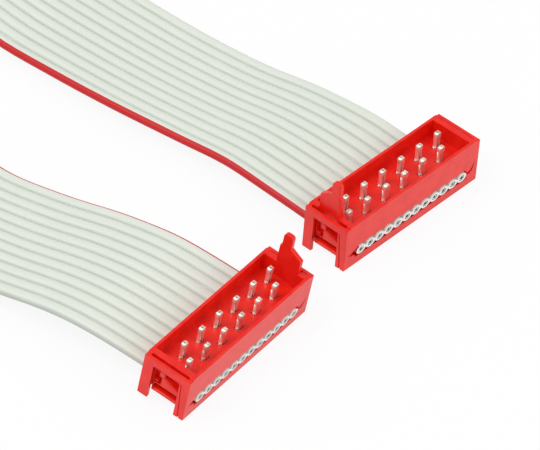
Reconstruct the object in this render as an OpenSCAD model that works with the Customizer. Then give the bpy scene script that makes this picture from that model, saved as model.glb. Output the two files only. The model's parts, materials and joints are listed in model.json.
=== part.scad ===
// Twelve-way ribbon cable with a male connector pressed onto each end.
// Each connector stands on its legs, posts up, and the ribbon runs from one to the other
// in a single loop that stands on its edge behind them.
// The origin is on the surface, at the middle of the box round the two connectors.
// Every connector is drawn with its key at -X and is then put in its place.

/* [Ribbon] */
// Spacing of the conductors, and of the contacts along a connector
pitch = 1.27; // [1.1:0.01:1.6]
// Thickness of the ribbon over its insulation
ribbon_t = 0.9; // [0.7:0.01:1.1]
// Height of the middle of the ribbon above a connector's feet
ribbon_z = 1.45; // [1.35:0.01:1.8]
// How far the cut end stands out of a connector's front
cut_proud = 0.05; // [0.02:0.01:0.3]

/* [Housing] */
// Width of a housing, from front to back
housing_w = 5; // [4.7:0.05:6.5]
// Housing beyond the outermost conductor, at either end
end_margin = 2.215; // [2.1:0.005:3]
// Thickness of the deck that holds the contacts
deck_t = 1.14; // [0.9:0.02:1.8]
// Depth of the open shroud above the deck
shroud_depth = 1.7; // [1.3:0.05:2.4]
// Thickness of the shroud's long walls
shroud_wall = 0.3; // [0.2:0.02:0.5]
// Thickness of the shroud's end walls
end_wall = 0.65; // [0.6:0.01:0.8]
// Thickness of the skirt around the ribbon
skirt_wall = 0.45; // [0.35:0.01:0.6]

/* [End straps] */
// Thickness of the strap across each end
strap_t = 0.35; // [0.25:0.01:0.5]
// Gap between a strap and the end wall behind it
strap_gap = 0.2; // [0.16:0.01:0.3]
// How far a strap's top lies below the rim
strap_drop = 0.15; // [0.05:0.01:0.3]
// Width of the opening through a strap
strap_open_w = 2.9; // [2.6:0.05:3.1]
// Height of the opening through a strap
strap_open_h = 4; // [3.8:0.02:4.2]

/* [Key] */
// Thickness of the key
key_t = 0.45; // [0.3:0.01:0.5]
// Height of the key above the rim
key_h = 3.7; // [3.4:0.05:4.5]
// Width of the key's foot
key_foot_w = 2.4; // [2.2:0.05:2.6]
// Width of the key's finger
key_finger_w = 1; // [0.8:0.05:1.2]

/* [Contacts] */
// Distance between the two rows of contacts
row_gap = 1.52; // [1.3:0.02:1.8]
// Width of a post, along the connector
post_w = 0.74; // [0.68:0.01:1.1]
// Depth of a post, across the connector
post_d = 0.46; // [0.42:0.01:0.6]
// How far the posts stand above the rim
post_proud = 0.05; // [-0.3:0.05:0.4]
// Thickness of the contact metal
metal_t = 0.17; // [0.12:0.01:0.18]
// Width of the slot that grips a conductor
grip_slot = 0.22; // [0.16:0.01:0.3]
// Clearance around each contact in what it passes through
contact_clear = 0.03; // [0.01:0.01:0.05]

/* [Cover] */
// Height of the cover's underside above the feet
cover_z = 0.3; // [0.1:0.05:0.4]
// Clearance between the cover and the housing
cover_clear = 0.05; // [0.03:0.01:0.08]
// Thickness of the tab that shows under each strap
tab_t = 0.42; // [0.35:0.01:0.5]

/* [Where the connectors stand] */
// First connector, to the right of the middle
first_x = 12.6; // [12.5:0.1:12.7]
// First connector, behind the middle
first_y = 1.8; // [1.7:0.1:1.9]
// Second connector, to the right of the middle
second_x = -12.4; // [-12.5:0.1:-12.3]
// Second connector, behind the middle
second_y = -0.3; // [-0.4:0.1:-0.2]
// Turn of the second connector to the left, in degrees
second_turn = 6; // [5:0.5:7]
// Lean of the second connector to the front, in degrees
second_lean = 7; // [6:0.5:8]

/* [Hidden] */
$fn = 48;
eps = 0.01;
ways = 12;

// Ribbon
ribbon_w = ways * pitch;
ribbon_low = ribbon_z - ribbon_t / 2;
ribbon_top = ribbon_z + ribbon_t / 2;
ribbon_gap = 0.03;
lobe_w = pitch - 0.13;
lobe_r = min(ribbon_t, lobe_w) / 2 - eps;
web_t = 0.3;
ease_x = 0.25;
ease_z = 0.24;

// Housing
housing_l = (ways - 1) * pitch + 2 * end_margin;
deck_z = ribbon_top + 0.16;
floor_z = deck_z + deck_t;
rim_z = floor_z + shroud_depth;
half_l = housing_l / 2;
half_w = housing_w / 2;
end_x = half_l - strap_t - strap_gap;
cavity_x = end_x - end_wall;
cavity_y = half_w - shroud_wall;
skirt_y = half_w - skirt_wall;
window_x = ribbon_w / 2 + 0.1;
window_low = ribbon_low - ribbon_gap;
lobe_clear = 0.18;
sill_gap = 0.07;
sill_drop = 0.35;
strap_z = rim_z - strap_drop;
end_wall_low = ribbon_top - 0.25;
slit_depth = 0.3;
left_slit_l = 0.9;
left_slit_tip = 0.03;
left_slit_low = 0.15;
left_slit_high = 0.02;
slit_join = 0.2;
leg_line_w = 0.11;
leg_line_depth = 0.12;
leg_line_foot = 1.9;
leg_line_head = strap_open_w / 2 + 0.12;

// Outline of the curved slit at the right of the window, from the middle of the window's edge
right_slit = [
    [-slit_join, -0.12], [0.45, -0.14], [0.7, 0.06], [0.86, 0.4], [0.97, 0.95],
    [0.74, 0.52], [0.54, 0.27], [0.38, 0.16], [-slit_join, 0.16]
];

// Relief in the outer face of each end wall, seen through the strap: a deep pocket at the back
// with a bar across it, a shallow one with a sloping lip in front, and a catch between them
relief_y = strap_open_w / 2;
relief_top = rim_z - 1.28;
relief_deep = 0.5;
relief_shallow = 0.4;
relief_front = 1.15;
ledge_start = 0.38;
ledge_high = rim_z - 1.95;
ledge_low = rim_z - 2.65;
lip_h = 0.16;
lip_proud = 0.14;
boss_y = 0.65;
boss_low = end_wall_low + 0.1;
catch_start = ledge_start - 0.1;
catch_y = 0.85;
catch_low = rim_z - 2;
catch_top = rim_z - 1.4;
catch_proud = 0.15;
bar_y = 0.95;
bar_low = boss_low + 0.2;
bar_h = 0.14;

// Key
key_top = rim_z + key_h;
key_mid = 0.3;
key_left = key_mid + key_foot_w / 2;
key_right = key_mid - key_foot_w / 2;
key_step = 0.17;
finger_right = key_right + key_step;
finger_left = finger_right + key_finger_w;
finger_r = 0.35;
finger_h = 1.45;
slope_h = 0.68;
step_drop = 0.1;
slope_top = key_top - finger_h;
slope_foot = slope_top - slope_h;
key_relief_z = rim_z - 0.85;
key_clear = 0.05;

// Contacts
post_top = rim_z + post_proud;
post_foot = deck_z + 0.05;
post_r = 0.18;
post_tip_r = post_w / 2 - 0.05;
post_side_r = post_d / 2 - 0.06;
tip_h = 0.75;
waist_w = post_w - 0.18;
waist_d = post_d - 0.08;
ankle_w = post_w - 0.24;
post_slot_w = post_w - 2.5 * metal_t;
post_slot_d = post_d - 1.8 * metal_t;
seam_w = 0.2;
seam_stop = 0.5;
foot_reach = 0.06;
foot_h = 0.16;
foot_d = 0.2;
fork_tip = cover_z + 0.25;
fork_y = (post_d - metal_t) / 2;
fork_point = 0.25;
grip_top = ribbon_top + ribbon_gap;

// Cover
cover_x = cavity_x - cover_clear;
cover_y = skirt_y - cover_clear;
cover_top = ribbon_low - ribbon_gap;
end_rib_x = window_x;
tab_x = half_l - strap_t - contact_clear;
tab_y = strap_open_w / 2 - cover_clear;
tab_z = cover_top - 0.12;
pocket_low = cover_z + 0.15;

// Route of the ribbon's middle between the two connectors: X, Y, Z and roll in degrees.
// The ribbon comes down onto the surface, rolls onto its edge and turns back on itself.
ribbon_route = [
    [12.5, 9.8, 1.8, 0], [12.4, 15.8, 1.6, -3], [11.7, 21.8, 1.2, -5], [10.9, 28.8, 1.1, -4.5],
    [10.5, 35.8, 1, -3], [10.3, 42.8, 1, -2], [10.2, 49.8, 1.6, -8], [10.5, 57.3, 3.1, -20],
    [11.2, 64.8, 4.8, -35], [12, 72.3, 6.3, -52], [12.5, 79.8, 7.3, -69], [12.7, 86.8, 7.7, -84],
    [11.5, 93, 7.7, -90], [8, 98.3, 7.7, -90], [2.7, 101.8, 7.7, -90], [-3.5, 103, 7.7, -90],
    [-9.7, 101.8, 7.7, -90], [-15, 98.3, 7.7, -90], [-18.5, 93, 7.7, -90], [-19.7, 86.8, 7.7, -84],
    [-19.7, 79.8, 7.3, -69], [-19.3, 72.3, 6.3, -52], [-18.7, 64.8, 4.8, -35], [-18.1, 57.3, 3.1, -20],
    [-17.5, 49.8, 1.6, -8], [-17, 42.3, 0.8, -1], [-16.7, 34.8, 0.8, 1.5], [-16.6, 27.8, 1, 3.5],
    [-15.6, 20.8, 1.6, 2.5], [-14.4, 14.3, 2.5, 1.5], [-13.7, 8.8, 2.9, 0.5]
];
rings_per_step = 2;
run_overlap = 0.3;

// Turns a point of the second connector, its key at +X, into the shared frame
second_lift = sin(second_lean) * half_w;
function second_point(p) =
    let (y = p[1] * cos(second_lean) - p[2] * sin(second_lean))
    let (z = p[1] * sin(second_lean) + p[2] * cos(second_lean) + second_lift)
    [
        second_x + p[0] * cos(second_turn) - y * sin(second_turn),
        second_y + p[0] * sin(second_turn) + y * cos(second_turn),
        z
    ];

cut_y = half_w + cut_proud;
run_y = half_w - run_overlap;
route_start = [for (y = [0, run_y]) [first_x, first_y + y, ribbon_z, 0]];
route_end = [for (y = [run_y, 0]) concat(second_point([0, y, ribbon_z]), [0])];
route = concat(route_start, ribbon_route, route_end);
route_last = len(route) - 2;

// Smooth curve through the route's points
function blend(p0, p1, p2, p3, t) =
    0.5 * (2 * p1 + (p2 - p0) * t + (2 * p0 - 5 * p1 + 4 * p2 - p3) * t * t
    + (3 * p1 - p0 - 3 * p2 + p3) * t * t * t);
line = [
    for (i = [1:route_last - 1])
        for (k = [0:rings_per_step - 1])
            blend(route[i - 1], route[i], route[i + 1], route[i + 2], k / rings_per_step),
    route[route_last]
];
rings = len(line);
function place_of(i) = [line[i][0], line[i][1], line[i][2]];
function heading(i) =
    i == 0 ? [0, 1, 0] :
    i == rings - 1 ? second_point([0, -1, 0]) - second_point([0, 0, 0]) :
    let (d = place_of(i + 1) - place_of(i - 1)) d / norm(d);
function level_side(t) = let (s = cross(t, [0, 0, 1])) s / norm(s);
function side(i) =
    let (t = heading(i), s = level_side(t))
    s * cos(line[i][3]) + cross(s, t) * sin(line[i][3]);

// Outline of the ribbon: a flat band with eased edges, its upper half and then its lower half
function half_band(x, z) = [
    [x, z - ease_z], [x - ease_x, z], [x / 3, z], [-x / 3, z], [ease_x - x, z], [-x, z - ease_z]
];
function band(x, z) = concat(half_band(x, z), -half_band(x, z));

// Names of the pieces
function two_digits(n) = n < 10 ? str("0", n) : str(n);
function contact_name(letter, n) = str("contact_", letter, "_", two_digits(n));

// A rounded rectangle about the middle
module round_plate(w, d, r) {
    square([w - 2 * r, d], center = true);
    square([w, d - 2 * r], center = true);
    for (x = [-1, 1], y = [-1, 1]) translate([x * (w / 2 - r), y * (d / 2 - r)]) circle(r);
}

// A box given by its lowest and highest corners
module box(low, high) {
    translate(low) cube(high - low);
}

// The same shape at both ends of a connector, turned half round
module both_ends() {
    for (a = [0, 180]) rotate(a) children();
}

// Puts a shape of the first connector in its place
module at_first() {
    translate([first_x, first_y, 0]) children();
}

// Puts a shape of the second connector in its place, turned half round so that its key is at +X
module at_second() {
    translate([second_x, second_y, second_lift])
        rotate([0, 0, second_turn]) rotate([second_lean, 0, 0]) rotate(180) children();
}

// Puts one contact's shape in its place: odd ways in the front row, even ways behind
module at_way(n) {
    front = n % 2;
    translate([(n - (ways + 1) / 2) * pitch, (front ? -1 : 1) * row_gap / 2, 0])
        rotate(front ? 180 : 0) children();
}

// Key that stops the connector being mated the wrong way round
module key() {
    translate([-cavity_x, 0, 0]) rotate([90, 0, -90]) linear_extrude(key_t) {
        polygon([
            [-key_right, floor_z], [-key_left, floor_z], [-key_left, slope_foot],
            [-finger_left, slope_top], [-finger_left, key_top - finger_r],
            [-finger_left + finger_r, key_top], [-finger_right - finger_r, key_top],
            [-finger_right, key_top - finger_r], [-finger_right, slope_top],
            [-key_right, slope_top - step_drop]
        ]);
        for (y = [finger_left - finger_r, finger_right + finger_r])
            translate([-y, key_top - finger_r]) circle(finger_r);
    }
}

// Outline of one conductor's lobe of insulation, with room around it
module lobe_outline(n, room) {
    translate([(n - (ways + 1) / 2) * pitch, 0])
        round_plate(lobe_w + 2 * room, ribbon_t + 2 * (room - eps), lobe_r + room - eps);
}

// Openings for the ribbon through the skirt: plain at the back, and at the front, where the cut
// end shows, arched over each conductor and sloped under it. The parting slits run on from them.
module ribbon_window() {
    box([-window_x, skirt_y - eps, window_low], [window_x, half_w + eps, deck_z]);
    box([-window_x, -half_w - eps, window_low - sill_gap], [window_x, -skirt_y + eps, ribbon_z]);
    translate([-window_x, 0, 0]) rotate([90, 0, 90]) linear_extrude(2 * window_x) polygon([
        [-half_w, window_low], [-half_w, window_low - sill_gap],
        [-skirt_y + eps, window_low - sill_drop], [-skirt_y + eps, window_low]
    ]);
    intersection() {
        translate([0, -skirt_y + eps, ribbon_z]) rotate([90, 0, 0]) linear_extrude(skirt_wall + 2 * eps)
            for (n = [1:ways]) lobe_outline(n, lobe_clear);
        box([-window_x, -half_w - 1, window_low], [window_x, 0, deck_z]);
    }
    both_ends() translate([0, -half_w + slit_depth, 0]) rotate([90, 0, 0])
        linear_extrude(slit_depth + eps) {
            polygon([
                [-window_x - left_slit_l, ribbon_z - left_slit_tip],
                [-window_x + slit_join, window_low + left_slit_low],
                [-window_x + slit_join, ribbon_top - left_slit_high],
                [-window_x - left_slit_l, ribbon_z + left_slit_tip]
            ]);
            translate([window_x, ribbon_z]) polygon(right_slit);
        }
}

// Everything cut out of one end: strap, gap, relief
module end_cuts() {
    box([-half_l - eps, -half_w - eps, strap_z], [-end_x - strap_gap / 2, half_w + eps, rim_z + eps]);
    box([-end_x - strap_gap, -skirt_y, -eps], [-end_x, skirt_y, rim_z + eps]);
    box([-half_l - eps, -strap_open_w / 2, -eps], [-end_x - eps, strap_open_w / 2, strap_open_h]);
    box([-end_x - eps, -skirt_y, -eps], [-cavity_x + eps, skirt_y, end_wall_low]);
    box([-end_x - eps, boss_y, boss_low], [-end_x + relief_deep, relief_y, relief_top]);
    translate([-end_x + relief_shallow, 0, 0]) rotate([90, 0, -90]) linear_extrude(relief_shallow + eps)
        polygon([
            [-ledge_start, ledge_high], [relief_front, ledge_low],
            [relief_front, relief_top], [-ledge_start, relief_top]
        ]);
    translate([-half_l + leg_line_depth, 0, 0]) rotate([90, 0, -90]) linear_extrude(leg_line_depth + eps)
        polygon([
            [leg_line_foot, -eps], [leg_line_foot + leg_line_w, -eps],
            [leg_line_head + leg_line_w, strap_open_h], [leg_line_head, strap_open_h]
        ]);
}

// Housing: deck, shroud, skirt, end straps and key in one moulding. The turn, none or half round,
// says on which long side the ribbon's cut end shows.
module housing(cut_turn) {
    color([0.86, 0.09, 0.07]) difference() {
        union() {
            box([-half_l, -half_w, 0], [half_l, half_w, rim_z]);
            key();
        }
        box([-cavity_x, -cavity_y, floor_z], [cavity_x, cavity_y, rim_z + eps]);
        box([-cavity_x, -skirt_y, -eps], [cavity_x, skirt_y, deck_z]);
        rotate(cut_turn) ribbon_window();
        both_ends() end_cuts();
        box([-end_x - eps, key_right - key_clear, key_relief_z],
            [-cavity_x - key_t, key_left + key_clear, rim_z + eps]);
        for (n = [1:ways]) at_way(n) translate([0, 0, (deck_z + floor_z) / 2])
            cube([post_w + 2 * contact_clear, post_d + 2 * contact_clear, deck_t + 2 * eps], center = true);
    }
    color([0.86, 0.09, 0.07]) both_ends() {
        box([-end_x - catch_proud, catch_start, catch_low],
            [-end_x + relief_deep + eps, catch_y, catch_top]);
        box([-end_x, bar_y, bar_low], [-end_x + relief_deep + eps, relief_y + eps, bar_low + bar_h]);
        translate([-end_x + relief_shallow + eps, 0, 0]) rotate([90, 0, -90])
            linear_extrude(relief_shallow + eps + lip_proud) polygon([
                [-ledge_start, ledge_high - eps], [relief_front + eps, ledge_low - eps],
                [relief_front + eps, ledge_low + lip_h], [-ledge_start, ledge_high + lip_h]
            ]);
    }
}

// Outline of the fork that cuts into the insulation and grips one conductor
module fork_outline() {
    polygon([
        [-post_w / 2, post_foot + eps], [-post_w / 2, fork_tip + fork_point],
        [-(post_w + grip_slot) / 4, fork_tip], [-grip_slot / 2, fork_tip + fork_point],
        [-grip_slot / 2, grip_top], [grip_slot / 2, grip_top], [grip_slot / 2, fork_tip + fork_point],
        [(post_w + grip_slot) / 4, fork_tip], [post_w / 2, fork_tip + fork_point],
        [post_w / 2, post_foot + eps]
    ]);
}

// Outline of a post above and in the deck: a rounded tip, a waist that narrows to an ankle, and
// the full width again in the deck
module post_outline(width, waist, ankle, tip_r) {
    translate([0, post_top - tip_h / 2]) round_plate(width, tip_h, tip_r);
    polygon([
        [-width / 2, post_foot - eps], [-width / 2, floor_z + 3 * eps], [-ankle / 2, floor_z + foot_h],
        [-waist / 2, post_top - tip_h / 2], [waist / 2, post_top - tip_h / 2],
        [ankle / 2, floor_z + foot_h], [width / 2, floor_z + 3 * eps], [width / 2, post_foot - eps]
    ]);
}

// Contact: a folded post above the deck and a two-pronged fork below it
module contact() {
    color([0.83, 0.82, 0.8]) {
        difference() {
            union() {
                intersection() {
                    translate([0, 0, post_foot]) linear_extrude(post_top - post_foot)
                        round_plate(post_w, post_d, post_r);
                    rotate([90, 0, 0]) translate([0, 0, -post_d]) linear_extrude(2 * post_d)
                        post_outline(post_w, waist_w, ankle_w, post_tip_r);
                    rotate([90, 0, 90]) translate([0, 0, -post_w]) linear_extrude(2 * post_w)
                        post_outline(post_d, waist_d, waist_d, post_side_r);
                }
                rotate([90, 0, 0]) translate([0, 0, -foot_d / 2]) linear_extrude(foot_d)
                    for (s = [-1, 1]) polygon([
                        [s * (post_w / 2 + foot_reach), floor_z + eps],
                        [s * (post_slot_w / 2 + eps), floor_z + eps],
                        [s * (post_slot_w / 2 + eps), floor_z + foot_h],
                        [s * (ankle_w / 2 + eps), floor_z + foot_h]
                    ]);
            }
            box([-post_slot_w / 2, -post_slot_d / 2, post_foot - eps],
                [post_slot_w / 2, post_slot_d / 2, post_top + eps]);
            box([-seam_w / 2, -post_d / 2 - eps, post_foot - eps], [seam_w / 2, 0, post_top - seam_stop]);
        }
        translate([0, fork_y + metal_t / 2, 0]) rotate([90, 0, 0]) linear_extrude(metal_t) fork_outline();
    }
}

// Room for one fork's two prongs, between two heights
module prong_room(low, high, clear) {
    for (s = [-1, 1]) translate([s * (post_w + grip_slot) / 4, fork_y, (low + high) / 2])
        cube([(post_w - grip_slot) / 2 + 2 * clear, metal_t + 2 * clear, high - low], center = true);
}

// Cover that holds the ribbon up against the forks
module cover() {
    color([0.8, 0.07, 0.06]) difference() {
        union() {
            box([-cover_x, -cover_y, cover_z], [cover_x, cover_y, cover_top]);
            both_ends() {
                box([-cover_x, -cover_y, cover_z], [-end_rib_x, cover_y, ribbon_top]);
                box([-tab_x, -tab_y, tab_z], [-cover_x + eps, tab_y, tab_z + tab_t]);
            }
        }
        for (n = [1:ways]) at_way(n) prong_room(pocket_low, cover_top + eps, 2 * contact_clear);
    }
}

// The straight end of the ribbon inside a connector, with a lobe round each conductor
module ribbon_end() {
    translate([0, half_w, ribbon_z]) rotate([90, 0, 0]) linear_extrude(half_w + cut_y) {
        square([ribbon_w - lobe_w, web_t], center = true);
        for (n = [1:ways]) lobe_outline(n, 0);
    }
}

// The ribbon between the connectors, swept along its route
module ribbon_run() {
    outline = band(ribbon_w / 2, ribbon_t / 2);
    sides = len(outline);
    points = [
        for (i = [0:rings - 1])
            let (s = side(i), u = cross(s, heading(i)))
            for (b = outline) place_of(i) + s * b[0] + u * b[1]
    ];
    walls = [
        for (i = [0:rings - 2])
            for (j = [0:sides - 1])
                let (a = i * sides + j, b = i * sides + (j + 1) % sides, c = b + sides, d = a + sides)
                for (t = j < sides / 2 ? [[a, b, c], [a, c, d]] : [[a, b, d], [b, c, d]]) t
    ];
    start_cap = [[for (j = [sides - 1:-1:0]) j]];
    end_cap = [[for (j = [0:sides - 1]) (rings - 1) * sides + j]];
    polyhedron(points, concat(start_cap, walls, end_cap), convexity = 12);
}

// The whole ribbon, with the slits that the forks have cut in both its ends
module ribbon() {
    color([0.83, 0.85, 0.82]) {
        ribbon_run();
        at_first() difference() {
            ribbon_end();
            for (n = [1:ways]) at_way(n) prong_room(ribbon_low - eps, ribbon_top + eps, contact_clear);
        }
        at_second() difference() {
            rotate(180) ribbon_end();
            for (n = [1:ways]) at_way(n) prong_room(ribbon_low - eps, ribbon_top + eps, contact_clear);
        }
    }
}

ribbon();
at_first() housing(0);  // housing_a
at_second() housing(180);  // housing_b
at_first() cover();  // cover_a
at_second() cover();  // cover_b
for (n = [1:ways]) {
    at_first() at_way(n) contact();
    at_second() at_way(n) contact();
}
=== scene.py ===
"""Looks of a twelve-way ribbon cable that has a shrouded ribbon connector pressed onto each end.

Everything is in metres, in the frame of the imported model: +Z is up, the first connector's row of
contacts runs along +X, and its ribbon leaves along +Y.
"""

import json
import logging
import math
from dataclasses import dataclass, field
from enum import Enum

import bmesh
import bpy
from mathutils import Matrix, Vector

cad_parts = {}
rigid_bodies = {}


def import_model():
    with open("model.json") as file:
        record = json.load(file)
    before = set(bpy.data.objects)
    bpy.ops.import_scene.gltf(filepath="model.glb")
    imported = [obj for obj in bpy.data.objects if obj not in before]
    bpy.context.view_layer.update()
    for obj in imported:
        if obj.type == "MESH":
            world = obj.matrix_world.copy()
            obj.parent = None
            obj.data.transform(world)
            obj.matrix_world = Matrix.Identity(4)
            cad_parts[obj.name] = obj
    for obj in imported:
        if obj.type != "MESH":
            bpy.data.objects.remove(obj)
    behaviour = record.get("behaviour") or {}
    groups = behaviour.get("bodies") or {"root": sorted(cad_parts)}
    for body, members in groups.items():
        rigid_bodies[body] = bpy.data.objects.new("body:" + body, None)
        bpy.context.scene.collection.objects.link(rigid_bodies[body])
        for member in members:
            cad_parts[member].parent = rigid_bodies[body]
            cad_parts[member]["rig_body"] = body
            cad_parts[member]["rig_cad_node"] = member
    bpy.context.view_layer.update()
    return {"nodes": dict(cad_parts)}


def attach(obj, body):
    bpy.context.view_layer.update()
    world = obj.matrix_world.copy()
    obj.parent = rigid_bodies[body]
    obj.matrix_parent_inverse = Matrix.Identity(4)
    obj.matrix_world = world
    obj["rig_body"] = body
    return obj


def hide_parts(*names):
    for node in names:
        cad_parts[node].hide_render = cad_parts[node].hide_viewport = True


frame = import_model()

log = logging.getLogger("ribbon_cable")

MM = 0.001
Colour = tuple[float, float, float]
Socket = bpy.types.NodeSocket

WELD = 0.012 * MM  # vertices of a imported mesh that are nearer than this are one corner
CUT_REACH = 0.0005 * MM  # how near a cut a vertex has to be to lie in it
SAME_PLACE = 0.001 * MM  # vertices that the rounding leaves nearer than this are merged
FLAT = math.radians(0.6)  # triangles that turn less than this are one face


# ---------------------------------------------------------------------------------------------
# Selection and modelling helpers


def only(*pieces: bpy.types.Object) -> None:
    """Goes to object mode with just these pieces selected, the last of them active.

    Args:
        pieces: the pieces to select.
    """
    if bpy.context.object and bpy.context.object.mode != "OBJECT":
        bpy.ops.object.mode_set(mode="OBJECT")
    bpy.ops.object.select_all(action="DESELECT")
    for piece in pieces:
        piece.select_set(True)
        bpy.context.view_layer.objects.active = piece


def settle(piece: bpy.types.Object) -> None:
    """Moves a piece's place, turn and scale into its mesh.

    Args:
        piece: the piece, which ends at the origin, unturned and unscaled.
    """
    only(piece)
    bpy.ops.object.transform_apply(location=True, rotation=True, scale=True)


def finish_edges(piece: bpy.types.Object, width: float, segments: int, crease: float) -> None:
    """Rounds a piece's sharp edges and smooths its shading.

    Args:
        piece: the piece to finish.
        width: how far the rounding reaches from each edge.
        segments: how many faces go round each edge.
        crease: the least angle, in degrees, that counts as an edge.
    """
    only(piece)
    rounding = piece.modifiers.new("rounded edges", "BEVEL")
    rounding.width = width
    rounding.segments = segments
    rounding.limit_method = "ANGLE"
    rounding.angle_limit = math.radians(crease)
    rounding.use_clamp_overlap = False
    rounding.harden_normals = False
    bpy.ops.object.modifier_apply(modifier=rounding.name)
    bpy.ops.object.mode_set(mode="EDIT")
    bpy.ops.mesh.select_all(action="SELECT")
    bpy.ops.mesh.remove_doubles(threshold=SAME_PLACE)
    bpy.ops.mesh.dissolve_degenerate(threshold=SAME_PLACE)
    bpy.ops.object.mode_set(mode="OBJECT")
    bpy.ops.object.shade_smooth_by_angle(angle=math.radians(crease))
    weighting = piece.modifiers.new("face weighted shading", "WEIGHTED_NORMAL")
    weighting.keep_sharp = True
    bpy.ops.object.modifier_apply(modifier=weighting.name)


@dataclass(frozen=True)
class Cut:
    """A flat cut through a piece: a point on it and the direction it faces."""

    place: Vector
    facing: Vector


def traced(node: str, name: str, cuts: list[Cut]) -> bpy.types.Object:
    """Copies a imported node, with its loose triangles merged into whole faces.

    Args:
        node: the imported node's name.
        name: the new piece's name.
        cuts: where whole faces are parted, so that none is left with a hole in it.

    Returns:
        The copy, which stands for the node.
    """
    only(frame["nodes"][node])
    bpy.ops.object.duplicate()
    piece = bpy.context.object
    piece.name = piece.data.name = name
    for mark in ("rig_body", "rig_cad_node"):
        if mark in piece:
            del piece[mark]
    piece.parent = None
    piece.data.materials.clear()
    bpy.ops.object.mode_set(mode="EDIT")
    bpy.ops.mesh.select_all(action="SELECT")
    bpy.ops.mesh.remove_doubles(threshold=WELD)
    for cut in cuts:
        bpy.ops.mesh.select_all(action="SELECT")
        bpy.ops.mesh.bisect(plane_co=cut.place, plane_no=cut.facing, threshold=CUT_REACH)
        bpy.ops.mesh.mark_seam()
    bpy.ops.mesh.select_all(action="SELECT")
    bpy.ops.mesh.dissolve_limited(angle_limit=FLAT, delimit={"SEAM"})
    bpy.ops.mesh.mark_seam(clear=True)
    bpy.ops.object.mode_set(mode="OBJECT")
    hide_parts(node)
    return piece


# ---------------------------------------------------------------------------------------------
# Finishes


class Wiring:
    """A node tree that is being wired."""

    def __init__(self, tree: bpy.types.NodeTree) -> None:
        """Starts on a tree.

        Args:
            tree: the node tree of a material, a world or a group.
        """
        self.tree = tree

    def add(self, kind: str, links: dict | None = None, **settings: object) -> bpy.types.Node:
        """Adds a node, sets it up and wires its inputs.

        Args:
            kind: the node's type.
            links: input name or number to a value, or to the socket that feeds it.
            settings: the node's own settings.

        Returns:
            The node.
        """
        node = self.tree.nodes.new(kind)
        for name, value in settings.items():
            setattr(node, name, value)
        for name, value in (links or {}).items():
            if isinstance(value, Socket):
                self.tree.links.new(value, node.inputs[name])
            else:
                node.inputs[name].default_value = value
        return node

    def maths(self, operation: str, *values: Socket | float) -> Socket:
        """Adds a sum.

        Args:
            operation: the kind of sum.
            values: its inputs.

        Returns:
            The result's socket.
        """
        return self.add(
            "ShaderNodeMath", dict(enumerate(values)), operation=operation
        ).outputs[0]

    def ramp(
        self, value: Socket, low: float, high: float, to_low: float, to_high: float
    ) -> Socket:
        """Maps a range of a value onto another, smoothly.

        Args:
            value: the socket to map.
            low: where the range starts.
            high: where the range ends.
            to_low: the result at its start.
            to_high: the result at its end.

        Returns:
            The result's socket.
        """
        return self.add(
            "ShaderNodeMapRange",
            {"Value": value, 1: low, 2: high, 3: to_low, 4: to_high},
            interpolation_type="SMOOTHSTEP",
        ).outputs[0]

    def mix(self, share: Socket, first: Socket | Colour, second: Socket | Colour) -> Socket:
        """Mixes two colours.

        Args:
            share: how much of the second colour there is, from 0 to 1.
            first: the first colour.
            second: the second colour.

        Returns:
            The mixed colour's socket.
        """
        node = self.add("ShaderNodeMix", data_type="RGBA")
        for name, value in ((0, share), (6, first), (7, second)):
            if isinstance(value, Socket):
                self.tree.links.new(value, node.inputs[name])
            else:
                node.inputs[name].default_value = (*value, 1) if name else value
        return node.outputs[2]


def fine_grain() -> bpy.types.ShaderNodeTree:
    """Makes the group that gives a surface its fine grain and its slow unevenness of tone.

    Returns:
        The group: Position and Size (metres) in, Height, Tone and Blotch (0 to 1) out.
    """
    name = "fine grain"
    if name in bpy.data.node_groups:
        return bpy.data.node_groups[name]
    group = bpy.data.node_groups.new(name, "ShaderNodeTree")
    group.interface.new_socket("Position", in_out="INPUT", socket_type="NodeSocketVector")
    group.interface.new_socket("Size", in_out="INPUT", socket_type="NodeSocketFloat")
    for output in ("Height", "Tone", "Blotch"):
        group.interface.new_socket(output, in_out="OUTPUT", socket_type="NodeSocketFloat")
    w = Wiring(group)
    given = w.add("NodeGroupInput").outputs
    close = w.maths("DIVIDE", 1.0, given["Size"])
    grain = w.add(
        "ShaderNodeTexNoise",
        {"Vector": given["Position"], "Scale": close, "Detail": 3.0, "Roughness": 0.55},
    )
    pits = w.add(
        "ShaderNodeTexVoronoi",
        {"Vector": given["Position"], "Scale": w.maths("MULTIPLY", close, 0.8)},
        feature="SMOOTH_F1",
    )
    slow = w.add(
        "ShaderNodeTexNoise",
        {"Vector": given["Position"], "Scale": w.maths("MULTIPLY", close, 0.04), "Detail": 2.0},
    )
    height = w.maths("MULTIPLY_ADD", pits.outputs["Distance"], 0.4, grain.outputs[0])
    w.add(
        "NodeGroupOutput",
        {"Height": height, "Tone": grain.outputs[0], "Blotch": slow.outputs[0]},
    )
    return group


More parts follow.
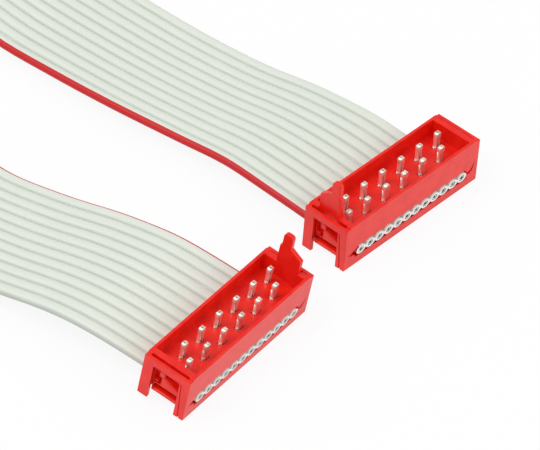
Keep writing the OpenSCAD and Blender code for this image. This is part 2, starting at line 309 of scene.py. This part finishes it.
def handling_marks() -> bpy.types.ShaderNodeTree:
    """Makes the group that masks fine rubbed lines and specks of dust.

    Returns:
        The group: Position and Length (metres) in, Rub and Dust (0 to 1) out.
    """
    name = "handling marks"
    if name in bpy.data.node_groups:
        return bpy.data.node_groups[name]
    group = bpy.data.node_groups.new(name, "ShaderNodeTree")
    group.interface.new_socket("Position", in_out="INPUT", socket_type="NodeSocketVector")
    group.interface.new_socket("Length", in_out="INPUT", socket_type="NodeSocketFloat")
    for output in ("Rub", "Dust"):
        group.interface.new_socket(output, in_out="OUTPUT", socket_type="NodeSocketFloat")
    w = Wiring(group)
    given = w.add("NodeGroupInput").outputs
    close = w.maths("DIVIDE", 1.0, given["Length"])
    stretched = w.add(
        "ShaderNodeMapping",
        {"Vector": given["Position"], "Rotation": (0.4, 0.3, 0.7), "Scale": (1.0, 14.0, 9.0)},
    )
    lines = w.add(
        "ShaderNodeTexNoise",
        {"Vector": stretched.outputs[0], "Scale": close, "Detail": 2.0},
    )
    specks = w.add(
        "ShaderNodeTexVoronoi",
        {"Vector": given["Position"], "Scale": w.maths("MULTIPLY", close, 9.0)},
    )
    w.add(
        "NodeGroupOutput",
        {
            "Rub": w.ramp(lines.outputs[0], 0.6, 0.72, 0.0, 1.0),
            "Dust": w.ramp(specks.outputs["Distance"], 0.04, 0.1, 1.0, 0.0),
        },
    )
    return group


class Finish:
    """What every finish shares: a material with one Principled shader, made once."""

    name: str

    def material(self) -> bpy.types.Material:
        """Gives the finish's material, and makes it the first time.

        Returns:
            The material.
        """
        if self.name in bpy.data.materials:
            return bpy.data.materials[self.name]
        made = bpy.data.materials.new(self.name)
        made.use_nodes = True
        made.node_tree.nodes.clear()
        w = Wiring(made.node_tree)
        shader = w.add("ShaderNodeBsdfPrincipled")
        w.add("ShaderNodeOutputMaterial", {"Surface": shader.outputs[0]})
        self.wire(w, shader)
        return made

    def wire(self, w: Wiring, shader: bpy.types.Node) -> None:
        """Wires the finish's pattern into its shader.

        Args:
            w: the material's wiring.
            shader: its Principled shader.
        """
        raise NotImplementedError

    def dress(self, *pieces: bpy.types.Object) -> None:
        """Gives pieces this finish and no other.

        Args:
            pieces: the pieces to dress.
        """
        for piece in pieces:
            piece.data.materials.clear()
            piece.data.materials.append(self.material())


def position(w: Wiring) -> Socket:
    """Gives the place on the piece, in metres."""
    return w.add("ShaderNodeTexCoord").outputs["Object"]


def grouped(w: Wiring, group: bpy.types.ShaderNodeTree, links: dict) -> bpy.types.Node:
    """Places a shared group in a material.

    Args:
        w: the material's wiring.
        group: the group to place.
        links: its inputs.

    Returns:
        The group's node.
    """
    return w.add("ShaderNodeGroup", links, node_tree=group)


@dataclass(frozen=True)
class MouldedPlastic(Finish):
    """Red moulded plastic: fine tool grain, faint flow marks and a soft gloss."""

    name: str = "red moulded plastic"
    colour: Colour = (0.86, 0.013, 0.002)
    deep: Colour = (0.79, 0.005, 0.001)
    bloom: Colour = (0.88, 0.090, 0.055)
    roughness: float = 0.36
    grain: float = 0.045 * MM
    relief: float = 0.0022 * MM
    marks: float = 0.9 * MM
    ior: float = 1.52

    def wire(self, w: Wiring, shader: bpy.types.Node) -> None:
        """Wires tone, gloss and grain; see Finish.wire."""
        place = position(w)
        grain = grouped(w, fine_grain(), {"Position": place, "Size": self.grain}).outputs
        marks = grouped(w, handling_marks(), {"Position": place, "Length": self.marks}).outputs
        tone = w.mix(w.ramp(grain["Blotch"], 0.35, 0.65, 0.0, 1.0), self.deep, self.colour)
        rubbed = w.maths("MULTIPLY", marks["Rub"], 0.35)
        colour = w.mix(rubbed, tone, self.bloom)
        w.tree.links.new(colour, shader.inputs["Base Color"])
        gloss = w.maths("MULTIPLY_ADD", grain["Tone"], 0.10, self.roughness - 0.05)
        gloss = w.maths("MULTIPLY_ADD", marks["Rub"], 0.08, gloss)
        w.tree.links.new(gloss, shader.inputs["Roughness"])
        bump = w.add(
            "ShaderNodeBump",
            {"Height": grain["Height"], "Strength": 0.5, "Distance": self.relief},
        )
        w.tree.links.new(bump.outputs[0], shader.inputs["Normal"])
        shader.inputs["IOR"].default_value = self.ior


@dataclass(frozen=True)
class TinPlate(Finish):
    """Bright tin on a stamped and folded copper-alloy strip, with faint rolling lines."""

    name: str = "tin plate"
    colour: Colour = (0.98, 0.93, 0.84)
    dull: Colour = (0.60, 0.45, 0.35)
    roughness: float = 0.30
    metallic: float = 0.72
    grain: float = 0.05 * MM
    relief: float = 0.002 * MM
    marks: float = 0.5 * MM

    def wire(self, w: Wiring, shader: bpy.types.Node) -> None:
        """Wires tarnish, gloss and rolling lines; see Finish.wire."""
        place = position(w)
        along = w.add("ShaderNodeMapping", {"Vector": place, "Scale": (1.0, 1.0, 0.12)})
        rolled = grouped(
            w, fine_grain(), {"Position": along.outputs[0], "Size": self.grain}
        ).outputs
        marks = grouped(w, handling_marks(), {"Position": place, "Length": self.marks}).outputs
        tarnish = w.ramp(rolled["Blotch"], 0.45, 0.75, 0.0, 0.6)
        tarnish = w.maths("MULTIPLY_ADD", marks["Dust"], 0.3, tarnish)
        w.tree.links.new(w.mix(tarnish, self.colour, self.dull), shader.inputs["Base Color"])
        gloss = w.maths("MULTIPLY_ADD", rolled["Tone"], 0.14, self.roughness - 0.05)
        w.tree.links.new(gloss, shader.inputs["Roughness"])
        bump = w.add(
            "ShaderNodeBump",
            {"Height": rolled["Height"], "Strength": 0.4, "Distance": self.relief},
        )
        w.tree.links.new(bump.outputs[0], shader.inputs["Normal"])
        shader.inputs["Metallic"].default_value = self.metallic


@dataclass(frozen=True)
class StrandWire(Finish):
    """Sheared ends of tinned copper strands."""

    name: str = "tinned strands"
    colour: Colour = (0.52, 0.60, 0.57)
    copper: Colour = (0.46, 0.42, 0.35)
    grain: float = 0.03 * MM
    relief: float = 0.006 * MM

    def wire(self, w: Wiring, shader: bpy.types.Node) -> None:
        """Wires the shear marks; see Finish.wire."""
        place = position(w)
        sheared = grouped(w, fine_grain(), {"Position": place, "Size": self.grain}).outputs
        bare = w.ramp(sheared["Tone"], 0.55, 0.75, 0.0, 0.7)
        w.tree.links.new(w.mix(bare, self.colour, self.copper), shader.inputs["Base Color"])
        gloss = w.maths("MULTIPLY_ADD", sheared["Tone"], 0.3, 0.22)
        w.tree.links.new(gloss, shader.inputs["Roughness"])
        bump = w.add(
            "ShaderNodeBump",
            {"Height": sheared["Height"], "Strength": 0.6, "Distance": self.relief},
        )
        w.tree.links.new(bump.outputs[0], shader.inputs["Normal"])
        shader.inputs["Metallic"].default_value = 1.0


@dataclass(frozen=True)
class CutInsulation(Finish):
    """The insulation's sheared face: paler and duller than its skin."""

    name: str = "cut insulation"
    colour: Colour = (0.94, 0.92, 0.89)
    shade: Colour = (0.86, 0.84, 0.80)
    grain: float = 0.06 * MM
    relief: float = 0.01 * MM

    def wire(self, w: Wiring, shader: bpy.types.Node) -> None:
        """Wires the shear marks; see Finish.wire."""
        place = position(w)
        torn = grouped(w, fine_grain(), {"Position": place, "Size": self.grain}).outputs
        tone = w.ramp(torn["Tone"], 0.35, 0.65, 0.0, 1.0)
        w.tree.links.new(w.mix(tone, self.shade, self.colour), shader.inputs["Base Color"])
        w.tree.links.new(
            w.maths("MULTIPLY_ADD", torn["Tone"], 0.2, 0.45), shader.inputs["Roughness"]
        )
        bump = w.add(
            "ShaderNodeBump",
            {"Height": torn["Height"], "Strength": 0.6, "Distance": self.relief},
        )
        w.tree.links.new(bump.outputs[0], shader.inputs["Normal"])


@dataclass(frozen=True)
class RibbonInsulation(Finish):
    """Grey extruded insulation with a red stripe along the outer side of its first conductor.

    The pattern reads the ribbon's own map: across, in conductors from the striped edge, and
    along, in pitches from the first cut end.
    """

    name: str = "grey ribbon insulation"
    colour: Colour = (0.70, 0.74, 0.665)
    # painted shade: the darker grey laid into the valleys between conductors, where shade falls
    painted_groove_shade: Colour = (0.49, 0.53, 0.465)
    streak: Colour = (0.78, 0.815, 0.745)
    stripe: Colour = (0.58, 0.007, 0.010)
    stripe_width: float = 0.31
    grain: float = 0.07 * MM
    relief: float = 0.008 * MM
    marks: float = 1.6 * MM
    ior: float = 1.48
    uv_map: str = "across and along"

    def wire(self, w: Wiring, shader: bpy.types.Node) -> None:
        """Wires painted shade in the grooves, streaks, stripe and the lay of the strands; see
        Finish.wire.
        """
        flat = w.add("ShaderNodeUVMap", uv_map=self.uv_map).outputs[0]
        parts = w.add("ShaderNodeSeparateXYZ", {0: flat}).outputs
        across, along = parts[0], parts[1]
        from_middle = w.maths("ABSOLUTE", w.maths("SUBTRACT", w.maths("FRACT", across), 0.5))
        drawn = w.add("ShaderNodeMapping", {"Vector": flat, "Scale": (9.0, 0.22, 1.0)})
        lines = w.add(
            "ShaderNodeTexNoise",
            {"Vector": drawn.outputs[0], "Scale": 1.0, "Detail": 3.0, "Roughness": 0.6},
        )
        place = position(w)
        worn = grouped(w, handling_marks(), {"Position": place, "Length": self.marks}).outputs
        skin = grouped(w, fine_grain(), {"Position": place, "Size": self.grain}).outputs
        uneven = w.maths("MULTIPLY_ADD", lines.outputs[0], 0.16, from_middle)
        # painted shade: the skin darkens towards the valley between each pair of conductors,
        # standing in for the shade that falls there
        groove_shade_share = w.ramp(uneven, 0.38, 0.58, 0.0, 1.0)
        grey = w.mix(groove_shade_share, self.colour, self.painted_groove_shade)
        grey = w.mix(w.ramp(lines.outputs[0], 0.5, 0.8, 0.0, 0.7), grey, self.streak)
        wander = w.maths("MULTIPLY_ADD", lines.outputs[0], 0.05, self.stripe_width - 0.025)
        painted = w.ramp(w.maths("SUBTRACT", across, wander), -0.02, 0.02, 1.0, 0.0)
        w.tree.links.new(w.mix(painted, grey, self.stripe), shader.inputs["Base Color"])
        gloss = w.maths("MULTIPLY_ADD", skin["Tone"], 0.12, 0.42)
        gloss = w.maths("MULTIPLY_ADD", worn["Rub"], 0.10, gloss)
        w.tree.links.new(gloss, shader.inputs["Roughness"])
        lay = w.maths("SINE", w.maths("MULTIPLY_ADD", along, 3.4, w.maths("MULTIPLY", across, 9.0)))
        telegraphed = w.maths("MULTIPLY", lay, w.ramp(from_middle, 0.1, 0.4, 0.3, 0.0))
        height = w.maths("ADD", w.maths("MULTIPLY", lines.outputs[0], 1.5), telegraphed)
        height = w.maths("MULTIPLY_ADD", skin["Height"], 0.4, height)
        bump = w.add(
            "ShaderNodeBump", {"Height": height, "Strength": 0.5, "Distance": self.relief}
        )
        w.tree.links.new(bump.outputs[0], shader.inputs["Normal"])
        shader.inputs["IOR"].default_value = self.ior


# ---------------------------------------------------------------------------------------------
# Studio


@dataclass(frozen=True)
class Lamp:
    """A soft square lamp."""

    name: str
    place: tuple[float, float, float]
    size: float
    power: float
    colour: Colour = (1.0, 1.0, 1.0)

    def hang(self, target: Vector) -> None:
        """Adds the lamp, turned towards a point.

        Args:
            target: the point it lights.
        """
        data = bpy.data.lights.new(self.name, "AREA")
        data.size, data.energy, data.color = self.size, self.power, self.colour
        lamp = bpy.data.objects.new(self.name, data)
        bpy.context.scene.collection.objects.link(lamp)
        lamp.location = self.place
        lamp.rotation_euler = (target - Vector(self.place)).to_track_quat("-Z", "Y").to_euler()


@dataclass
class Studio:
    """The camera, the pale floor and the soft lights."""

    camera_place: tuple[float, float, float] = (-0.2968745, -0.2309282, 0.3398327)
    camera_right: tuple[float, float, float] = (0.66706215, -0.74194461, 0.06742613)
    camera_up: tuple[float, float, float] = (0.46043874, 0.48172718, 0.74561055)
    lens: float = 377.7
    floor_half: float = 3.0
    floor_white: Colour = (0.86, 0.86, 0.86)
    backdrop_share: float = 0.90
    sky: float = 0.70
    sky_gloss: float = 0.45
    lit_point: tuple[float, float, float] = (0.0, 0.01, 0.003)
    lamps: tuple[Lamp, ...] = (
        Lamp("key lamp", (-0.35, 0.15, 0.75), 0.45, 2.75),
        Lamp("fill lamp", (0.25, -0.65, 0.45), 0.50, 1.3),
    )

    def place_camera(self) -> None:
        """Adds the camera and makes it the scene's own."""
        data = bpy.data.cameras.new("camera")
        data.sensor_fit, data.sensor_width, data.lens = "HORIZONTAL", 36.0, self.lens
        data.clip_start, data.clip_end = 0.02, 20.0
        camera = bpy.data.objects.new("camera", data)
        bpy.context.scene.collection.objects.link(camera)
        right, up = Vector(self.camera_right), Vector(self.camera_up)
        turn = Matrix((right, up, right.cross(up))).transposed().to_4x4()
        camera.matrix_world = Matrix.Translation(self.camera_place) @ turn
        bpy.context.scene.camera = camera

    def lay_floor(self) -> None:
        """Adds the floor: it keeps its shadows and looks nearly white to camera and gloss."""
        only()
        bpy.ops.mesh.primitive_plane_add(size=2 * self.floor_half, location=(0, 0, 0))
        floor = bpy.context.object
        floor.name = "floor"
        paint = bpy.data.materials.new("pale floor")
        paint.use_nodes = True
        paint.node_tree.nodes.clear()
        w = Wiring(paint.node_tree)
        rays = w.add("ShaderNodeLightPath").outputs
        seen = w.maths("MAXIMUM", rays["Is Camera Ray"], rays["Is Glossy Ray"])
        seen = w.maths("MAXIMUM", seen, rays["Is Transmission Ray"])
        lit = w.add("ShaderNodeBsdfDiffuse", {"Color": (*self.floor_white, 1)})
        glow = w.add("ShaderNodeEmission", {"Color": (1, 1, 1, 1), "Strength": 1.0})
        share = w.maths("MULTIPLY", seen, self.backdrop_share)
        both = w.add("ShaderNodeMixShader", {0: share, 1: lit.outputs[0], 2: glow.outputs[0]})
        w.add("ShaderNodeOutputMaterial", {"Surface": both.outputs[0]})
        floor.data.materials.append(paint)

    def light(self) -> None:
        """Sets the even surroundings and hangs the lamps."""
        world = bpy.data.worlds.new("studio")
        world.use_nodes = True
        world.node_tree.nodes.clear()
        w = Wiring(world.node_tree)
        rays = w.add("ShaderNodeLightPath").outputs
        seen = w.maths("MAXIMUM", rays["Is Camera Ray"], rays["Is Transmission Ray"])
        change = self.sky_gloss - self.sky
        strength = w.maths("MULTIPLY_ADD", rays["Is Glossy Ray"], change, self.sky)
        strength = w.maths("MAXIMUM", strength, seen)
        sky = w.add("ShaderNodeBackground", {"Color": (1, 1, 1, 1), "Strength": strength})
        w.add("ShaderNodeOutputWorld", {"Surface": sky.outputs[0]})
        bpy.context.scene.world = world
        for lamp in self.lamps:
            lamp.hang(Vector(self.lit_point))

    def build(self) -> None:
        """Sets up the floor, the lights and the plain view."""
        self.lay_floor()
        self.light()
        bpy.context.scene.view_settings.view_transform = "Standard"


# ---------------------------------------------------------------------------------------------
# Ribbon


@dataclass
class Ring:
    """One cross-section of the ribbon: its middle, its two directions and its distance along."""

    place: Vector
    side: Vector
    up: Vector
    along: float = 0.0


@dataclass
class Route:
    """Where the ribbon lies, from the cut end in one connector to the cut end in the other."""

    first: tuple[float, float] = (12.6, 1.8)
    second: tuple[float, float] = (-12.4, -0.3)
    second_turn: float = 6.0
    second_lean: float = 7.0
    half_w: float = 2.5
    cut_proud: float = 0.05
    overlap: float = 0.3
    ribbon_z: float = 1.45
    steps: int = 5
    straight_steps: int = 4
    points: tuple[tuple[float, float, float, float], ...] = (
        (12.5, 9.8, 1.8, 0), (12.4, 15.8, 1.6, -3), (11.7, 21.8, 1.2, -5),
        (10.9, 28.8, 1.1, -4.5), (10.5, 35.8, 1, -3), (10.3, 42.8, 1, -2),
        (10.2, 49.8, 1.6, -8), (10.5, 57.3, 3.1, -20), (11.2, 64.8, 4.8, -35),
        (12, 72.3, 6.3, -52), (12.5, 79.8, 7.3, -69), (12.7, 86.8, 7.7, -84),
        (11.5, 93, 7.7, -90), (8, 98.3, 7.7, -90), (2.7, 101.8, 7.7, -90),
        (-3.5, 103, 7.7, -90), (-9.7, 101.8, 7.7, -90), (-15, 98.3, 7.7, -90),
        (-18.5, 93, 7.7, -90), (-19.7, 86.8, 7.7, -84), (-19.7, 79.8, 7.3, -69),
        (-19.3, 72.3, 6.3, -52), (-18.7, 64.8, 4.8, -35), (-18.1, 57.3, 3.1, -20),
        (-17.5, 49.8, 1.6, -8), (-17, 42.3, 0.8, -1), (-16.7, 34.8, 0.8, 1.5),
        (-16.6, 27.8, 1, 3.5), (-15.6, 20.8, 1.6, 2.5), (-14.4, 14.3, 2.5, 1.5),
        (-13.7, 8.8, 2.9, 0.5),
    )

    def second_frame(self) -> Matrix:
        """Gives the second connector's place, in millimetres, its key at +X."""
        lift = math.sin(math.radians(self.second_lean)) * self.half_w
        return (
            Matrix.Translation((*self.second, lift))
            @ Matrix.Rotation(math.radians(self.second_turn), 4, "Z")
            @ Matrix.Rotation(math.radians(self.second_lean), 4, "X")
        )

    def rings(self) -> list[Ring]:
        """Lays the cross-sections along the whole route.

        Returns:
            The rings from one cut end to the other, in metres.
        """
        place_b = self.second_frame()
        run_y, cut_y = self.half_w - self.overlap, -self.half_w - self.cut_proud
        start = [(self.first[0], self.first[1] + y, self.ribbon_z, 0.0) for y in (0, run_y)]
        end = [(*(place_b @ Vector((0, y, self.ribbon_z))), 0.0) for y in (run_y, 0)]
        knots = [Vector(p) for p in (*start, *self.points, *end)]
        line: list[Vector] = []
        for i in range(1, len(knots) - 2):
            for k in range(self.steps):
                line.append(self.between(knots[i - 1 : i + 3], k / self.steps))
        line.append(knots[-2])
        places = [Vector(p[:3]) for p in line]
        rolls = [math.radians(p[3]) for p in line]
        leave = Vector((0, 1, 0))
        arrive = (place_b.to_3x3() @ Vector((0, -1, 0))).normalized()
        headings = [leave]
        headings += [(b - a).normalized() for a, b in zip(places, places[2:])]
        headings.append(arrive)
        cut_a = Vector((self.first[0], self.first[1] + cut_y, self.ribbon_z))
        cut_b = place_b @ Vector((0, cut_y, self.ribbon_z))
        for n in range(self.straight_steps):
            share = n / self.straight_steps
            places.insert(n, cut_a.lerp(Vector(line[0][:3]), share))
            headings.insert(n, leave)
            rolls.insert(n, 0.0)
        for n in range(1, self.straight_steps + 1):
            places.append(Vector(line[-1][:3]).lerp(cut_b, n / self.straight_steps))
            headings.append(arrive)
            rolls.append(0.0)
        made, along = [], 0.0
        for n, (place, heading, roll) in enumerate(zip(places, headings, rolls)):
            level = heading.cross(Vector((0, 0, 1))).normalized()
            side = level * math.cos(roll) + level.cross(heading) * math.sin(roll)
            if n:
                along += (place - places[n - 1]).length
            made.append(Ring(place * MM, side, side.cross(heading), along * MM))
        return made

    @staticmethod
    def between(knots: list[Vector], t: float) -> Vector:
        """Gives a point of the smooth curve between the middle two of four knots.

        Args:
            knots: four knots, each a place and a roll.
            t: how far along from the second to the third, from 0 to 1.

        Returns:
            The place and roll there.
        """
        a, b, c, d = knots
        square = 2 * a - 5 * b + 4 * c - d
        cube = 3 * b - a - 3 * c + d
        return 0.5 * (2 * b + (c - a) * t + square * t**2 + cube * t**3)


@dataclass
class Ribbon:
    """The ribbon: one extruded insulation round twelve stranded conductors."""

    route: Route = field(default_factory=Route)
    ways: int = 12
    pitch: float = 1.27 * MM
    thickness: float = 0.9 * MM
    web: float = 0.14 * MM
    web_blend: float = 0.05 * MM
    web_sink: float = 0.012 * MM
    bore: tuple[float, float] = (0.36 * MM, 0.29 * MM)
    bore_depth: float = 0.35 * MM
    strand: float = 0.19 * MM
    outer_strands: int = 6
    strand_spread: tuple[float, float] = (1.2, 1.04)
    swell: float = 0.008
    lobe_steps: int = 10
    insulation: RibbonInsulation = field(default_factory=RibbonInsulation)
    cut_face: CutInsulation = field(default_factory=CutInsulation)
    wire: StrandWire = field(default_factory=StrandWire)

    @property
    def width(self) -> float:
        """The ribbon's whole width."""
        return self.ways * self.pitch

    def lobe_height(self, across: float, edge: bool) -> float:
        """Gives half the ribbon's thickness at a distance from a conductor's middle.

        Args:
            across: the distance from the conductor's middle.
            edge: whether this is the outer side of an edge conductor.

        Returns:
            The height of the skin above the ribbon's middle.
        """
        reach = 0.5 * self.pitch * (1.0 if edge else 0.985)
        round_part = 0.5 * self.thickness * math.sqrt(max(0.0, 1 - (across / reach) ** 2))
        if edge:
            return round_part
        blended = math.sqrt((round_part - self.web) ** 2 + self.web_blend**2)
        return 0.5 * (round_part + self.web + blended) - self.web_sink

    def half_outline(self) -> list[tuple[float, float]]:
        """Gives the upper half of the cross-section from the striped edge to the plain one.

        Returns:
            Distance across and height of each point.
        """
        points: list[tuple[float, float]] = []
        for way in range(self.ways):
            middle = (way - (self.ways - 1) / 2) * self.pitch
            for step in range(self.lobe_steps + (way == self.ways - 1)):
                turn = math.pi * step / self.lobe_steps
                off = -math.cos(turn) * self.pitch / 2
                edge = (way == 0 and off < 0) or (way == self.ways - 1 and off > 0)
                points.append((middle + off, self.lobe_height(off, edge)))
        return points

    def unevenness(self, across: float, along: float) -> float:
        """Gives how much the extrusion swells or thins at a place, as a factor near 1.

        Args:
            across: distance from the ribbon's middle.
            along: distance from the first cut end.

        Returns:
            The factor on the skin's height.
        """
        way = round(across / self.pitch - 0.5)
        long_wave = math.sin(along / (9 * MM) + 2.1 * way)
        short_wave = math.sin(along / (3.7 * MM) + 4.3 * way)
        return 1.0 + self.swell * (long_wave + 0.6 * short_wave)

    def build_insulation(self, rings: list[Ring]) -> bpy.types.Object:
        """Sweeps the insulation and closes its two cut ends round the conductors' bores.

        Args:
            rings: the cross-sections along the route.

        Returns:
            The insulation, dressed and mapped.
        """
        upper = self.half_outline()
        outline = upper + [(x, -z) for x, z in reversed(upper[1:-1])]
        count = len(outline)
        mesh = bmesh.new()
        uv = mesh.loops.layers.uv.new(self.insulation.uv_map)
        loops: list[list[bmesh.types.BMVert]] = []
        for ring in rings:
            loop = []
            for x, z in outline:
                height = z * self.unevenness(x, ring.along)
                loop.append(mesh.verts.new(ring.place + ring.side * x + ring.up * height))
            loops.append(loop)
        for n in range(len(rings) - 1):
            for j in range(count):
                k = (j + 1) % count
                face = mesh.faces.new((loops[n][j], loops[n][k], loops[n + 1][k], loops[n + 1][j]))
                face.smooth = True
                spots = ((n, j), (n, k), (n + 1, k), (n + 1, j))
                for corner, (m, i) in zip(face.loops, spots):
                    corner[uv].uv = (
                        outline[i][0] / self.pitch + self.ways / 2,
                        rings[m].along / self.pitch,
                    )
        for loop, ring, inward in ((loops[0], rings[0], 1), (loops[-1], rings[-1], -1)):
            self.close_end(mesh, outline, loop, ring, inward)
        bmesh.ops.recalc_face_normals(mesh, faces=mesh.faces)
        data = bpy.data.meshes.new("ribbon_insulation")
        mesh.to_mesh(data)
        mesh.free()
        piece = bpy.data.objects.new("ribbon_insulation", data)
        bpy.context.scene.collection.objects.link(piece)
        data.materials.append(self.insulation.material())
        data.materials.append(self.cut_face.material())
        return piece

    def close_end(
        self,
        mesh: bmesh.types.BMesh,
        outline: list[tuple[float, float]],
        loop: list[bmesh.types.BMVert],
        ring: Ring,
        inward: int,
    ) -> None:
        """Closes one cut end, with a bore round each conductor.

        Args:
            mesh: the insulation being built.
            outline: its cross-section.
            loop: the points of the end's outline.
            ring: the end's cross-section.
            inward: 1 at the first end and -1 at the other.
        """
        into = ring.up.cross(ring.side) * inward
        last = len(self.half_outline()) - 1
        for way in range(self.ways):
            a, b = way * self.lobe_steps, (way + 1) * self.lobe_steps
            upper = list(range(a, b + 1))
            lower = [(2 * last - i) % (2 * last) for i in range(b, a - 1, -1)]
            around = list(dict.fromkeys(upper + lower))
            middle = (way - (self.ways - 1) / 2) * self.pitch
            rims: list[list[bmesh.types.BMVert]] = [[], []]
            for i in around:
                x, z = outline[i][0] - middle, outline[i][1]
                reach = 1 / math.hypot(x / self.bore[0], z / self.bore[1])
                spot = ring.place + ring.side * (middle + x * reach) + ring.up * (z * reach)
                rims[0].append(mesh.verts.new(spot))
                rims[1].append(mesh.verts.new(spot + into * self.bore_depth))
            outer = [loop[i] for i in around]
            sides = len(around)
            for j in range(sides):
                k = (j + 1) % sides
                for near, far in ((outer, rims[0]), (rims[0], rims[1])):
                    face = mesh.faces.new((near[j], near[k], far[k], far[j]))
                    face.material_index = 1
            mesh.faces.new(rims[1]).material_index = 1

    def build_strands(self, name: str, ring: Ring, inward: int) -> bpy.types.Object:
        """Models one strand's sheared tip and copies it to every strand of one cut end.

        Args:
            name: the piece's name.
            ring: the end's cross-section.
            inward: 1 at the first end and -1 at the other.

        Returns:
            All the strands of that end as one piece.
        """
        into = ring.up.cross(ring.side) * inward
        only()
        radius, length = self.strand / 2, 0.9 * self.bore_depth
        side_spread, up_spread = self.strand_spread
        bpy.ops.mesh.primitive_cylinder_add(vertices=8, radius=radius, depth=length)
        tip = bpy.context.object
        bpy.ops.object.mode_set(mode="EDIT")
        bpy.ops.mesh.select_all(action="DESELECT")
        bpy.ops.object.mode_set(mode="OBJECT")
        for face in tip.data.polygons:
            face.select = face.normal.z > 0.9
        bpy.ops.object.mode_set(mode="EDIT")
        bpy.ops.mesh.select_mode(type="FACE")
        bpy.ops.mesh.bevel(offset=0.18 * radius, segments=1)
        bpy.ops.object.mode_set(mode="OBJECT")
        copies = []
        turn = Matrix((ring.side, ring.up, -into)).transposed().to_4x4()
        if turn.determinant() < 0:
            turn = Matrix((-ring.side, ring.up, -into)).transposed().to_4x4()
        for way in range(self.ways):
            middle = (way - (self.ways - 1) / 2) * self.pitch
            for n in range(self.outer_strands + 1):
                central = n == self.outer_strands
                angle = math.radians(360 / self.outer_strands * n + 17 * way)
                out = 0.0 if central else up_spread * self.strand
                uneven = 0.016 * math.sin(5.0 * n + 3.0 * way)
                depth = (0.03 + uneven + (0.11 if central else 0.0)) * MM
                only(tip)
                bpy.ops.object.duplicate()
                copy = bpy.context.object
                spot = (
                    ring.place
                    + ring.side * (middle + side_spread * out * math.cos(angle))
                    + ring.up * (out * math.sin(angle))
                    + into * (length / 2 + depth)
                )
                copy.matrix_world = Matrix.Translation(spot) @ turn
                copies.append(copy)
        only(tip)
        bpy.ops.object.delete()
        only(*copies)
        bpy.ops.object.join()
        piece = bpy.context.object
        piece.name = piece.data.name = name
        settle(piece)
        self.wire.dress(piece)
        return piece

    def build(self) -> list[bpy.types.Object]:
        """Returns:
            The ribbon's pieces.
        """
        rings = self.route.rings()
        insulation = self.build_insulation(rings)
        strands = [
            self.build_strands("conductor_ends_a", rings[0], 1),
            self.build_strands("conductor_ends_b", rings[-1], -1),
        ]
        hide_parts("ribbon")
        for piece in (insulation, *strands):
            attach(piece, "root")
        log.info("ribbon is %.1f mm long", rings[-1].along / MM)
        return [insulation, *strands]


# ---------------------------------------------------------------------------------------------
# Connectors


class End(Enum):
    """Which of the cable's two connectors is meant."""

    FIRST = "a"
    SECOND = "b"


@dataclass
class Connector:
    """One ribbon connector: a moulded housing, its cover and its twelve folded contacts."""

    end: End
    route: Route = field(default_factory=Route)
    ways: int = 12
    pitch: float = 1.27
    row_y: float = 0.76
    prong_x: float = 0.24
    catch_y: float = 0.61
    edge: float = 0.04 * MM
    contact_edge: float = 0.025 * MM
    crease: float = 25.0
    contact_crease: float = 30.0
    plastic: MouldedPlastic = field(default_factory=MouldedPlastic)
    tin: TinPlate = field(default_factory=TinPlate)

    def way_x(self, way: int) -> float:
        """Gives a way's distance from the connector's middle, in millimetres."""
        return (way - (self.ways + 1) / 2) * self.pitch

    def place(self) -> Matrix:
        """Gives the connector's place, in millimetres, its cut wires towards -Y."""
        if self.end is End.FIRST:
            return Matrix.Translation((*self.route.first, 0))
        return self.route.second_frame()

    def cuts(self, across: list[float], along: list[float]) -> list[Cut]:
        """Lays flat cuts through the connector.

        Args:
            across: their distances from its middle along X.
            along: their distances from its middle along Y.

        Returns:
            The cuts.
        """
        place = self.place()
        turn = place.to_3x3()
        made = [Cut(place @ Vector((x, 0, 0)) * MM, turn @ Vector((1, 0, 0))) for x in across]
        made += [Cut(place @ Vector((0, y, 0)) * MM, turn @ Vector((0, 1, 0))) for y in along]
        return made

    def build_moulding(self, node: str, cuts: list[Cut]) -> bpy.types.Object:
        """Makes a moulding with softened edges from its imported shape.

        Args:
            node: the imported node.
            cuts: where its faces are parted.

        Returns:
            The dressed moulding.
        """
        piece = traced(node, f"{node}_moulding", cuts)
        finish_edges(piece, self.edge, 2, self.crease)
        self.plastic.dress(piece)
        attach(piece, "root")
        return piece

    def build_contact(self, way: int) -> bpy.types.Object:
        """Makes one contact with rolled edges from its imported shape.

        Args:
            way: the contact's number, from 1.

        Returns:
            The dressed contact.
        """
        node = f"contact_{self.end.value}_{way:02d}"
        front = way % 2 == (1 if self.end is End.FIRST else 0)
        row = -self.row_y if front else self.row_y
        middle = self.way_x(way if self.end is End.FIRST else self.ways + 1 - way)
        piece = traced(node, f"{node}_plated", self.cuts([middle], [row]))
        finish_edges(piece, self.contact_edge, 1, self.contact_crease)
        self.tin.dress(piece)
        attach(piece, "root")
        return piece

    def build(self) -> list[bpy.types.Object]:
        """Makes the whole connector.

        Returns:
            Its pieces.
        """
        letter = self.end.value
        ways = [self.way_x(way) for way in range(1, self.ways + 1)]
        catches = [-self.catch_y, 0.0, self.catch_y]
        prongs = [x + off for x in ways for off in (-self.prong_x, self.prong_x)]
        pieces = [
            self.build_moulding(f"housing_{letter}", self.cuts(ways, catches)),
            self.build_moulding(f"cover_{letter}", self.cuts(prongs, [0.0])),
        ]
        pieces += [self.build_contact(way) for way in range(1, self.ways + 1)]
        return pieces


def main() -> None:
    """Builds the cable and its studio."""
    logging.basicConfig(level=logging.INFO, format="%(message)s")
    studio = Studio()
    studio.place_camera()
    pieces = Ribbon().build()
    for end in End:
        pieces += Connector(end).build()
    studio.build()
    for piece in pieces:
        log.info("%s: %d faces", piece.name, len(piece.data.polygons))


if __name__ == "__main__":
    main()
